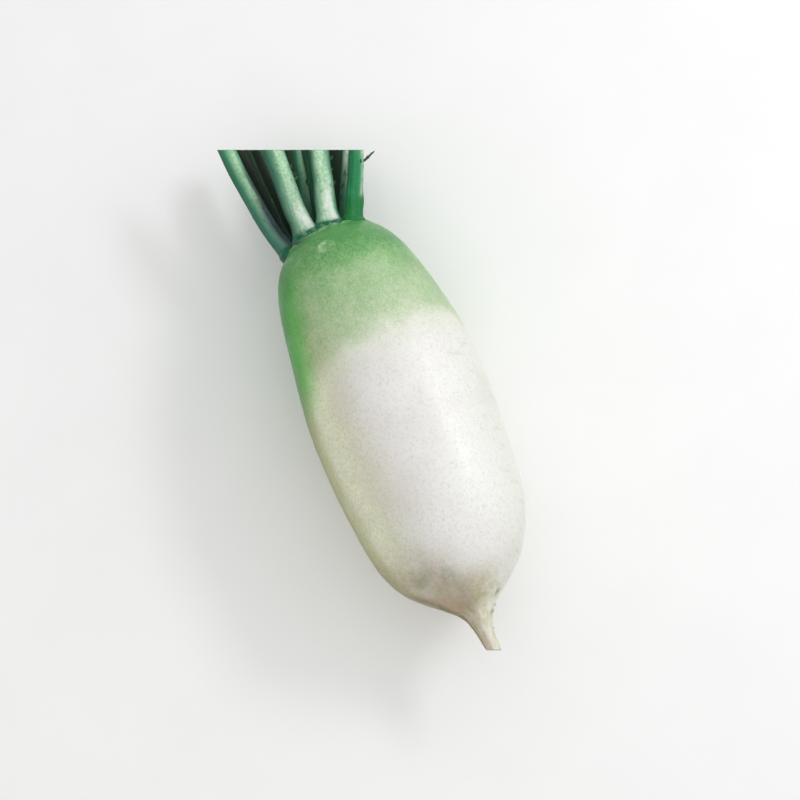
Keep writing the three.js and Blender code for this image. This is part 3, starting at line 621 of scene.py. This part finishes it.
class Nodes:
    def __init__(self, name):
        self.mat = bpy.data.materials.new(name)
        self.mat.use_nodes = True
        self.t = self.mat.node_tree
        self.t.nodes.clear()
        self.out = self.t.nodes.new("ShaderNodeOutputMaterial")
        self.coord = self.t.nodes.new("ShaderNodeTexCoord").outputs["Object"]

    def put(self, socket, value):
        if isinstance(value, bpy.types.NodeSocket):
            self.t.links.new(value, socket)
        elif value is not None:
            socket.default_value = value

    def node(self, kind, **props):
        n = self.t.nodes.new(kind)
        for k, v in props.items():
            setattr(n, k, v)
        return n

    def attr(self, name):
        n = self.node("ShaderNodeAttribute", attribute_type="GEOMETRY", attribute_name=name)
        return n.outputs["Fac"]

    def math(self, op, a, b=None, c=None, clamp=False):
        n = self.node("ShaderNodeMath", operation=op, use_clamp=clamp)
        self.put(n.inputs[0], a)
        if b is not None:
            self.put(n.inputs[1], b)
        if c is not None:
            self.put(n.inputs[2], c)
        return n.outputs[0]

    def noise(self, size_mm, detail=3.0, rough=0.55, stretch=None, distort=0.0):
        n = self.node("ShaderNodeTexNoise")
        vec = self.coord
        if stretch is not None:
            m = self.node("ShaderNodeMapping")
            m.inputs["Scale"].default_value = stretch
            self.put(m.inputs["Vector"], vec)
            vec = m.outputs[0]
        self.put(n.inputs["Vector"], vec)
        n.inputs["Scale"].default_value = 1000.0 / size_mm
        n.inputs["Detail"].default_value = detail
        n.inputs["Roughness"].default_value = rough
        n.inputs["Distortion"].default_value = distort
        return n.outputs["Fac"]

    def voronoi(self, size_mm, feature="F1"):
        n = self.node("ShaderNodeTexVoronoi", feature=feature)
        self.put(n.inputs["Vector"], self.coord)
        n.inputs["Scale"].default_value = 1000.0 / size_mm
        return n.outputs["Distance"]

    def centred(self, fac, amount):
        return self.math("MULTIPLY", self.math("SUBTRACT", fac, 0.5), amount)

    def ramp(self, fac, stops, mode="EASE"):
        n = self.node("ShaderNodeValToRGB")
        r = n.color_ramp
        r.interpolation = mode
        while len(r.elements) < len(stops):
            r.elements.new(0.5)
        for e, (pos, col) in zip(r.elements, stops):
            e.position = pos
            e.color = col if len(col) == 4 else (*col, 1)
        self.put(n.inputs["Fac"], fac)
        return n.outputs["Color"]

    def mix(self, fac, a, b, blend="MIX"):
        n = self.node("ShaderNodeMix", data_type="RGBA", blend_type=blend, clamp_factor=True)
        self.put(n.inputs["Factor"], fac)
        self.put(n.inputs[6], a)
        self.put(n.inputs[7], b)
        return n.outputs[2]

    def range(self, value, a, b, c=0.0, d=1.0, kind="SMOOTHSTEP"):
        n = self.node("ShaderNodeMapRange", interpolation_type=kind)
        self.put(n.inputs["Value"], value)
        n.inputs["From Min"].default_value = a
        n.inputs["From Max"].default_value = b
        n.inputs["To Min"].default_value = c
        n.inputs["To Max"].default_value = d
        return n.outputs["Result"]


def root_material():
    m = Nodes("daikon_skin")
    fine = m.noise(0.9, 2.5, 0.6)
    mid = m.noise(3.2, 3.0, 0.6)
    wide = m.noise(13.0, 3.0, 0.5)
    g = m.attr("green")
    edge = m.range(g, 0.0, 0.30)
    g2 = m.math("ADD", g, m.math("MULTIPLY", edge, m.math("ADD", m.math("ADD", m.centred(fine, 0.50), m.centred(mid, 0.26)), m.centred(wide, 0.20))))
    skin = m.ramp(g2, [
        (0.00, srgb(237, 236, 234)),
        (0.16, srgb(226, 230, 216)),
        (0.36, srgb(204, 217, 188)),
        (0.58, srgb(173, 200, 156)),
        (0.78, srgb(138, 182, 122)),
        (0.90, srgb(106, 166, 96)),
        (1.00, srgb(78, 148, 76))], "LINEAR")
    # body: faint warm grey mottling
    body = m.mix(m.range(m.noise(2.2, 4.0, 0.65), 0.48, 0.72, 0.0, 0.30), skin, m.mix(1.0, skin, srgb(226, 222, 214), "MULTIPLY"))
    body = m.mix(m.range(m.noise(24.0, 2.0), 0.40, 0.70, 0.0, 0.35), body, m.mix(1.0, body, srgb(240, 236, 232), "MULTIPLY"))
    body = m.mix(m.math("MULTIPLY", m.attr("pink"), 0.35), body, m.mix(1.0, body, srgb(246, 234, 232), "MULTIPLY"))
    # fine green and fawn speckle
    body = m.mix(m.range(m.noise(1.5, 3.0, 0.6), 0.54, 0.70, 0.0, 0.30), body, m.mix(1.0, body, srgb(200, 212, 184), "MULTIPLY"))
    yel = m.math("MULTIPLY", m.attr("yellow"), m.range(m.noise(3.0, 4.0, 0.65), 0.28, 0.62, 0.55, 1.0))
    body = m.mix(yel, body, m.mix(1.0, body, srgb(236, 240, 204), "MULTIPLY"))
    # pale yellow band inside the far edge: painted bounce light
    body = m.mix(m.math("MULTIPLY", m.attr("painted_bounce_light"), m.range(m.noise(1.7, 4.0, 0.65), 0.36, 0.62, 0.42, 1.0)), body, srgb(250, 251, 222))
    # grain of the skin, stronger on the shaded flank
    grain = m.range(m.noise(1.1, 4.0, 0.7), 0.38, 0.64, 0.0, 1.0)
    body = m.mix(m.math("MULTIPLY", grain, m.range(m.attr("yellow"), 0.0, 0.7, 0.35, 0.80)), body, m.mix(1.0, body, srgb(240, 241, 232), "MULTIPLY"))
    # the tail is cream, then olive where it leaves the body
    tail = m.mix(m.range(m.noise(3.0, 4.0, 0.6, stretch=(0.30, 1, 1)), 0.42, 0.66), srgb(228, 224, 210), srgb(190, 196, 150))
    tail = m.mix(m.range(m.noise(1.6, 3.0, 0.6, stretch=(0.5, 1, 1)), 0.55, 0.72, 0.0, 0.5), tail, srgb(176, 160, 132))
    body = m.mix(m.math("MULTIPLY", m.attr("tail"), 0.72), body, tail)
    body = m.mix(m.math("MULTIPLY", m.attr("verdant"), 0.95), body, m.mix(1.0, body, srgb(90, 246, 34), "MULTIPLY"))
    # olive tint on the far flank, partly painted shade
    body = m.mix(m.math("MULTIPLY", m.attr("olive_and_shade"), m.range(m.noise(1.3, 4.0, 0.65), 0.36, 0.60, 0.66, 1.0)), body, m.mix(1.0, body, srgb(212, 212, 164), "MULTIPLY"))
    # darker line along the far edge: painted shade
    body = m.mix(m.math("MULTIPLY", m.attr("left_edge_painted_shade"), m.range(m.noise(2.4, 3.0), 0.25, 0.6, 0.80, 1.0)), body, m.mix(1.0, body, srgb(174, 168, 124), "MULTIPLY"))
    # right-hand edge toned down: painted shade
    body = m.mix(m.math("MULTIPLY", m.attr("right_edge_painted_shade"), 0.85), body, m.mix(1.0, body, srgb(240, 242, 236), "MULTIPLY"))
    body = m.mix(m.math("MULTIPLY", m.attr("shade"), m.range(m.noise(2.6, 4.0, 0.65), 0.30, 0.65, 0.74, 1.0)), body, m.mix(1.0, body, srgb(216, 202, 186), "MULTIPLY"))
    # painted shadow on the far shoulder
    body = m.mix(m.attr("painted_shoulder_shadow"), body, m.mix(1.0, body, srgb(196, 202, 196), "MULTIPLY"))
    # tan and olive at the narrowing end
    body = m.mix(m.attr("tan"), body, m.mix(1.0, body, m.mix(m.range(m.noise(5.0, 3.0), 0.42, 0.58), srgb(234, 227, 218), srgb(226, 226, 208)), "MULTIPLY"))
    body = m.mix(m.math("MULTIPLY", m.attr("moss"), m.range(m.noise(2.2, 3.0), 0.35, 0.60, 0.35, 1.0)), body, m.mix(1.0, body, srgb(214, 222, 168), "MULTIPLY"))
    body = m.mix(m.math("MULTIPLY", m.attr("smudge"), m.range(m.noise(4.0, 3.0, 0.5), 0.35, 0.60, 0.45, 1.0)), body, m.mix(1.0, body, srgb(206, 210, 196), "MULTIPLY"))
    # soil stain and corky skin near the tail, and a painted shade line along the tail's far edge
    d = m.attr("dirt")
    stain = m.mix(m.noise(3.0, 3.0), srgb(150, 140, 118), srgb(166, 148, 120))
    dm = m.math("MULTIPLY", d, m.range(m.noise(1.6, 4.0, 0.65), 0.34, 0.66, 0.12, 0.36), clamp=True)
    body = m.mix(dm, body, stain)
    # rust-brown corky patches, plus the painted shade line along the tail's far edge
    body = m.mix(m.math("MULTIPLY", m.attr("rust_and_edge_shade"), m.range(m.noise(1.4, 3.0), 0.35, 0.60, 0.15, 0.65)), body, srgb(186, 140, 100))
    body = m.mix(m.math("MULTIPLY", m.attr("scar"), 0.34), body, srgb(178, 166, 138))
    body = m.mix(m.math("MULTIPLY", m.attr("nub"), 0.72), body, m.mix(m.range(m.noise(2.0, 2.0), 0.4, 0.6), srgb(104, 98, 62), srgb(134, 150, 92)))
    # crown: leaf scar, rim, and the top between the stalks, painted near-black green as painted shade
    fleck = m.range(m.noise(1.1, 3.0, 0.6), 0.38, 0.60, 0.15, 1.0)
    body = m.mix(m.math("MULTIPLY", m.math("MULTIPLY", m.attr("leafscar"), 0.70), fleck), body, srgb(176, 208, 154))
    body = m.mix(m.math("MULTIPLY", m.math("MULTIPLY", m.attr("ridge"), 0.85), fleck), body, srgb(214, 228, 190))
    body = m.mix(m.math("MULTIPLY", m.attr("rim"), 0.60), body, m.mix(m.range(m.noise(2.4, 3.0), 0.42, 0.66), srgb(96, 160, 92), srgb(176, 206, 152)))
    # near-black green between the stalks: painted shade
    body = m.mix(m.math("MULTIPLY", m.attr("crown"), 0.85), body, m.mix(m.noise(2.0, 4.0, 0.6), srgb(22, 62, 40), srgb(62, 104, 60)))
    body = m.mix(m.math("MULTIPLY", m.attr("bud"), 0.85), body, srgb(40, 122, 66))
    # snapped end of the tail
    ring = m.mix(m.noise(1.0, 3.0), srgb(232, 226, 204), srgb(206, 190, 152))
    body = m.mix(m.attr("cut"), body, ring)
    # pores
    pore = m.range(m.voronoi(1.5), 0.10, 0.02, 0.0, 0.12)
    body = m.mix(pore, body, m.mix(1.0, body, srgb(196, 186, 168), "MULTIPLY"))

    rough = m.range(m.math("ADD", m.noise(9.0, 3.0), m.centred(m.noise(0.7, 2.0), 0.35)), 0.25, 0.75, 0.38, 0.50)
    rough = m.math("ADD", rough, m.math("MULTIPLY", m.math("ADD", d, m.attr("tail")), 0.10), clamp=True)
    height = m.math("ADD", m.math("MULTIPLY", m.noise(0.55, 2.0), 0.5), m.math("MULTIPLY", m.noise(1.8, 3.0, 0.6), 0.9))
    height = m.math("ADD", height, m.math("MULTIPLY", m.noise(1.2, 2.0, 0.5, stretch=(1.0, 0.18, 0.18)), 0.5))
    bump = m.node("ShaderNodeBump")
    bump.inputs["Strength"].default_value = 0.13
    bump.inputs["Distance"].default_value = 0.0005
    m.put(bump.inputs["Height"], height)
    p = m.node("ShaderNodeBsdfPrincipled")
    m.put(p.inputs["Base Color"], body)
    m.put(p.inputs["Roughness"], rough)
    m.put(p.inputs["Normal"], bump.outputs[0])
    p.inputs["IOR"].default_value = 1.37
    p.inputs["Subsurface Weight"].default_value = 0.15
    p.inputs["Subsurface Radius"].default_value = (1.0, 0.9, 0.66)
    p.inputs["Subsurface Scale"].default_value = 0.0026
    p.inputs["Coat Weight"].default_value = 0.42
    p.inputs["Coat Roughness"].default_value = 0.33
    m.put(m.out.inputs["Surface"], p.outputs[0])
    return m.mat


def stalk_material(gap_shaded=False):
    m = Nodes("old_stalk_skin" if gap_shaded else "stalk_skin")
    # along the stalk the markings are long and thin
    streak = m.noise(1.5, 3.0, 0.55, stretch=(0.12, 1.0, 1.0))
    streak2 = m.noise(4.0, 2.0, 0.5, stretch=(0.15, 1.0, 1.0))
    mottle = m.noise(1.3, 3.0, 0.6)
    patchy = m.noise(3.4, 3.0, 0.6, stretch=(0.45, 1.0, 1.0))
    deep, gap_shade = m.attr("deepness"), m.attr("gap_shade")
    teal = m.mix(deep, srgb(74, 150, 118), srgb(26, 136, 84))
    teal = m.mix(m.range(streak2, 0.35, 0.65, 0.0, 0.45), teal, m.mix(1.0, teal, srgb(170, 204, 182), "MULTIPLY"))
    # painted shade: darker teal on the side turned away from the light
    col = m.mix(m.math("MULTIPLY", m.attr("painted_shade_flank"), 0.88), teal, m.mix(deep, srgb(30, 100, 78), srgb(20, 96, 62)))
    mint = m.mix(m.range(mottle, 0.38, 0.64), srgb(168, 217, 174), srgb(210, 238, 203))
    mint = m.mix(m.range(patchy, 0.52, 0.78, 0.0, 0.50), mint, srgb(116, 182, 140))
    # pale band: partly the stalk's own pale colour, partly painted light on the side facing the light
    pale_band_and_light = m.math("MULTIPLY", m.attr("pale_band_and_light"), m.range(streak, 0.25, 0.6, 0.60, 1.0))
    col = m.mix(pale_band_and_light, col, mint)
    # near-white patch near the foot: painted highlight
    col = m.mix(m.attr("low"), col, m.mix(m.range(mottle, 0.42, 0.60), srgb(238, 246, 228), srgb(255, 255, 251)))
    col = m.mix(m.math("MULTIPLY", m.attr("bloom"), 0.85), col, srgb(62, 112, 106))
    # bluish grey near the crown: painted shade
    col = m.mix(m.math("MULTIPLY", m.attr("bluish_shade"), 0.90), col, m.mix(m.range(patchy, 0.4, 0.6), srgb(44, 62, 64), srgb(62, 78, 86)))
    # papillae: small paler and darker dots
    col = m.mix(m.range(m.voronoi(1.3), 0.26, 0.06, 0.0, 0.10), col, srgb(214, 228, 200))
    col = m.mix(m.range(m.noise(0.8, 2.0), 0.58, 0.72, 0.0, 0.22), col, m.mix(1.0, col, srgb(120, 160, 130), "MULTIPLY"))
    col = m.mix(m.math("MULTIPLY", m.attr("wart"), 0.60), col, srgb(30, 78, 52))
    # both side edges darkened: painted shade
    col = m.mix(m.math("MULTIPLY", m.attr("edge"), 0.90), col, m.mix(1.0, col, srgb(86, 130, 112), "MULTIPLY"))
    col = m.mix(m.math("MULTIPLY", m.attr("lip"), m.range(m.noise(3.0, 2.0), 0.30, 0.55, 0.70, 1.0)), col, m.mix(deep, srgb(12, 98, 66), srgb(4, 96, 42)))
    col = m.mix(m.attr("foot"), col, srgb(2, 112, 50))
    # stalks at the back get painted shade: near-black brown-green on the faces turned up into the gaps, deep green on
    # their sides
    gap_shade_colour = m.mix(m.range(streak2, 0.35, 0.65), srgb(34, 28, 27), srgb(28, 36, 28))
    gap_shade_colour = m.mix(m.attr("sides"), gap_shade_colour, m.mix(m.range(streak2, 0.35, 0.65), srgb(34, 84, 58), srgb(52, 108, 74)))
    col = m.mix(gap_shade, col, gap_shade_colour)
    # darker where the stalk goes into the crown: painted shade in the join
    col = m.mix(m.range(m.attr("past"), 0.8, -1.2, 0.0, 0.9), col, srgb(30, 56, 36))
    # cut face: green skin, pale flesh, darker strands, soft pith
    rad = m.attr("radial")
    flesh = m.ramp(m.math("ADD", rad, m.centred(m.noise(0.8, 2.0), 0.10)), [
        (0.0, srgb(222, 230, 200)), (0.45, srgb(204, 220, 176)), (0.74, srgb(170, 202, 138)), (0.90, srgb(140, 184, 110)), (0.97, srgb(60, 130, 84))], "LINEAR")
    flesh = m.mix(m.math("MULTIPLY", m.attr("strand"), 0.6), flesh, srgb(132, 170, 98))
    # their cut faces are darkened as well: painted shade
    flesh = m.mix(m.math("MULTIPLY", gap_shade, 0.75), flesh, m.mix(1.0, flesh, srgb(150, 140, 110), "MULTIPLY"))
    col = m.mix(m.attr("cut"), col, flesh)
    p = m.node("ShaderNodeBsdfPrincipled")
    height = m.math("ADD", m.math("MULTIPLY", m.noise(0.6, 2.0, 0.5, stretch=(0.12, 1, 1)), 0.8), m.math("MULTIPLY", m.noise(0.5, 2.0), 0.5))
    bump = m.node("ShaderNodeBump")
    bump.inputs["Strength"].default_value = 0.22
    bump.inputs["Distance"].default_value = 0.0004
    m.put(bump.inputs["Height"], height)
    rough = m.range(m.math("ADD", m.noise(5.0, 3.0), m.centred(m.noise(0.6, 2.0), 0.3)), 0.25, 0.75, 0.62 if gap_shaded else 0.38, 0.80 if gap_shaded else 0.56)
    m.put(p.inputs["Base Color"], col)
    m.put(p.inputs["Roughness"], rough)
    m.put(p.inputs["Normal"], bump.outputs[0])
    p.inputs["IOR"].default_value = 1.38
    p.inputs["Specular IOR Level"].default_value = 0.18 if gap_shaded else 0.5
    p.inputs["Subsurface Weight"].default_value = 0.0 if gap_shaded else 0.06
    p.inputs["Subsurface Radius"].default_value = (0.6, 1.0, 0.55)
    p.inputs["Subsurface Scale"].default_value = 0.0010
    m.put(m.out.inputs["Surface"], p.outputs[0])
    return m.mat


def leaflet_material():
    m = Nodes("leaflet_green")
    n1, n2 = m.noise(2.0, 4.0, 0.6), m.noise(0.7, 2.0)
    col = m.mix(m.range(n1, 0.35, 0.65), srgb(24, 62, 36), srgb(58, 108, 58))
    col = m.mix(m.range(n2, 0.5, 0.7, 0.0, 0.4), col, srgb(96, 140, 82))
    bump = m.node("ShaderNodeBump")
    bump.inputs["Strength"].default_value = 0.3
    bump.inputs["Distance"].default_value = 0.0004
    m.put(bump.inputs["Height"], n2)
    p = m.node("ShaderNodeBsdfPrincipled")
    m.put(p.inputs["Base Color"], col)
    m.put(p.inputs["Normal"], bump.outputs[0])
    m.put(p.inputs["Roughness"], m.range(n1, 0.3, 0.7, 0.42, 0.6))
    m.put(m.out.inputs["Surface"], p.outputs[0])
    return m.mat


def floor_material():
    m = Nodes("floor_plain")
    n1 = m.noise(60.0, 3.0)
    n2 = m.noise(1.2, 2.0)
    col = m.mix(m.range(n1, 0.3, 0.7), srgb(248, 248, 247), srgb(250, 250, 249))
    bump = m.node("ShaderNodeBump")
    bump.inputs["Strength"].default_value = 0.03
    bump.inputs["Distance"].default_value = 0.0003
    m.put(bump.inputs["Height"], n2)
    p = m.node("ShaderNodeBsdfPrincipled")
    m.put(p.inputs["Base Color"], col)
    m.put(p.inputs["Normal"], bump.outputs[0])
    p.inputs["Roughness"].default_value = 0.85
    p.inputs["Specular IOR Level"].default_value = 0.2
    m.put(m.out.inputs["Surface"], p.outputs[0])
    return m.mat


# ------------------------------------------------------------------ camera and light
EYE = np.array([-360.3955, 3.82, 1484.5525])
RIGHT = np.array([-0.36347278, 0.9272, -0.09062394])
UP = np.array([0.8996582, 0.3746, 0.22430998])
VIEW = np.array([0.2419219, 0.0, -0.97029573])


def turn(v):
    return Vector((v[0], -v[1], v[2]))


cam_data = bpy.data.cameras.new("camera")
cam_data.sensor_width = 36.0
cam_data.lens = 135.0
cam_data.clip_start, cam_data.clip_end = 0.05, 30.0
cam = bpy.data.objects.new("camera", cam_data)
bpy.context.scene.collection.objects.link(cam)
r, u, w = turn(RIGHT).normalized(), turn(UP).normalized(), (-turn(VIEW)).normalized()
cam.matrix_world = Matrix(((r.x, u.x, w.x, 0), (r.y, u.y, w.y, 0), (r.z, u.z, w.z, 0), (0, 0, 0, 1)))
cam.location = Vector(to_row(EYE))
bpy.context.scene.camera = cam


def area(name, direction, distance, size, power, colour=(1, 1, 1), target=(-0.010, 0.0, 0.045)):
    d = turn(np.asarray(direction, float)).normalized()
    data = bpy.data.lights.new(name, "AREA")
    data.shape = "RECTANGLE"
    data.size, data.size_y = size
    data.energy = power
    data.color = colour
    ob = bpy.data.objects.new(name, data)
    ob.location = Vector(target) + d * distance
    ob.rotation_euler = (-d).to_track_quat("-Z", "Y").to_euler()
    bpy.context.scene.collection.objects.link(ob)
    return ob


KEY_POWER, WORLD_LOW, WORLD_HIGH = 3.1, 0.29, 0.96
area("key_softbox", (0.10, 0.76, 0.63), 1.15, (0.44, 0.18), KEY_POWER, (0.955, 0.975, 1.0))

world = bpy.data.worlds.new("studio")
world.use_nodes = True
bpy.context.scene.world = world
wt = world.node_tree
bg = wt.nodes["Background"]
tc = wt.nodes.new("ShaderNodeTexCoord")
dot = wt.nodes.new("ShaderNodeVectorMath")
dot.operation = "DOT_PRODUCT"
lit = turn(np.array([0.06, 0.58, 0.81])).normalized()
dot.inputs[1].default_value = tuple(lit)
wt.links.new(tc.outputs["Generated"], dot.inputs[0])
mr = wt.nodes.new("ShaderNodeMapRange")
mr.interpolation_type = "SMOOTHSTEP"
mr.inputs["From Min"].default_value = -0.6
mr.inputs["From Max"].default_value = 0.85
mr.inputs["To Min"].default_value = WORLD_LOW
mr.inputs["To Max"].default_value = WORLD_HIGH
wt.links.new(dot.outputs["Value"], mr.inputs["Value"])
wt.links.new(mr.outputs["Result"], bg.inputs["Strength"])
bg.inputs["Color"].default_value = (1.0, 1.0, 1.0, 1.0)

bpy.context.scene.view_settings.view_transform = "Standard"
bpy.context.scene.view_settings.look = "None"

# ------------------------------------------------------------------ build
root_mat, stalk_mat, gap_shade_mat, leaf_mat = root_material(), stalk_material(), stalk_material(gap_shaded=True), leaflet_material()

root = build_root()
me = root.data
root.data.materials.append(root_mat)
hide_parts("root")
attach(root, "root")

# leaf lobes: stalk, place along it from the crown (mm), angle round the section, lean, length, width, curl
LOBES = [
    ("leaf_stalk_3", 33, 0, 1.0, 3.0, 1.8, 0.2), ("leaf_stalk_3", 21, -4, 0.6, 2.4, 1.6, 0.3), ("leaf_stalk_3", 27, -12, 0.8, 2.2, 1.4, -0.2),
    ("leaf_stalk_2", 36, -10, 0.7, 3.4, 1.9, 0.3), ("leaf_stalk_2", 30, -25, 0.9, 3.0, 1.6, -0.3),
    ("inner_stalk_1", 30, 20, 0.8, 4.2, 2.4, 0.3), ("inner_stalk_1", 22, 160, 0.8, 3.8, 2.2, 0.3), ("inner_stalk_1", 36, 200, 0.9, 4.4, 2.2, 0.2),
    ("inner_stalk_2", 20, 170, 0.7, 3.6, 2.4, 0.2), ("inner_stalk_2", 26, 150, 0.9, 3.6, 2.0, -0.2), ("inner_stalk_2", 15, 190, 0.7, 2.6, 1.8, 0.2),
    ("leaf_stalk_4", 27, 95, 0.35, 2.2, 1.5, 0.3), ("leaf_stalk_4", 28.2, 48, 0.85, 8.4, 1.7, 0.10),
    ("leaf_stalk_1", 44, 190, 0.9, 3.4, 1.8, 0.3), ("leaf_stalk_8", 40, 90, 0.9, 4.0, 2.2, 0.3), ("leaf_stalk_7", 44, 80, 0.9, 4.0, 2.2, 0.3),
    ("leaf_stalk_6", 38, 100, 0.8, 4.0, 2.2, 0.3), ("leaf_stalk_5", 30, 40, 0.9, 4.0, 2.0, 0.2),
    ("inner_stalk_3", 40, 30, 0.9, 4.4, 2.4, 0.3), ("inner_stalk_3", 30, 140, 0.9, 3.4, 2.0, 0.3), ("inner_stalk_4", 34, 60, 0.8, 4.0, 2.2, 0.3),
]

for index, (name, spec) in enumerate(STALKS.items()):
    verts, faces, attrs, vol, (rowsP, th, side, out, path, at) = build_stalk(name, spec, index)
    faces = orient(verts, faces)
    mats = [0] * len(faces)
    count = len(verts)
    for k, (who, along, ang, lean, length, width, curl) in enumerate(LOBES):
        if who != name:
            continue
        i = int(np.argmin(np.abs(path[:, 0] - (104 + along * 0.97))))
        j = int(round((ang % 360) / 360 * len(th))) % len(th)
        # nearest point of the finished skin
        target = path[i] + side[i] * math.cos(math.radians(ang)) * 3 + out[i] * math.sin(math.radians(ang)) * 3
        dist = np.linalg.norm(rowsP[:, j] - target, axis=1)
        p = rowsP[int(np.argmin(dist)), j]
        outward = side[i] * math.cos(math.radians(ang)) + out[i] * math.sin(math.radians(ang))
        tan = path[min(i + 3, len(path) - 1)] - path[max(i - 3, 0)]
        tan = tan / np.linalg.norm(tan)
        lv, lf2 = leaflet(p - outward * 0.35, outward * lean + tan * 0.75, tan * 0.4 - outward * 0.2 + np.array([0, 0, 0.9]), length, width, curl, k)
        lf2 = orient(lv, lf2)
        faces = faces + [[a + count for a in f] for f in lf2]
        mats += [1] * len(lf2)
        verts = np.vstack([verts, lv])
        for key in attrs:
            attrs[key] = np.concatenate([attrs[key], np.full(len(lv), attrs[key][0] if key in ("deepness", "gap_shade") else 0.0)])
        count = len(verts)
    ob = make_object(name.replace("leaf_stalk", "stalk").replace("inner_stalk", "young") + "_skin", verts, faces, attrs, mats)
    # stalks with much painted gap shade get the low-gloss material
    ob.data.materials.append(gap_shade_mat if spec["gap_shade"] > 0.6 else stalk_mat)
    ob.data.materials.append(leaf_mat)
    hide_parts(name)
    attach(ob, "root")

# ------------------------------------------------------------------ floor
fm = bpy.data.meshes.new("floor")
n = 24
xs = np.linspace(-4, 4, n)
fv = [(x, y, 0.0) for x in xs for y in xs]
ff = [[i * n + j, (i + 1) * n + j, (i + 1) * n + j + 1, i * n + j + 1] for i in range(n - 1) for j in range(n - 1)]
fm.from_pydata(fv, [], ff)
fm.materials.append(floor_material())
floor = bpy.data.objects.new("floor", fm)
bpy.context.scene.collection.objects.link(floor)

bpy.context.view_layer.update()
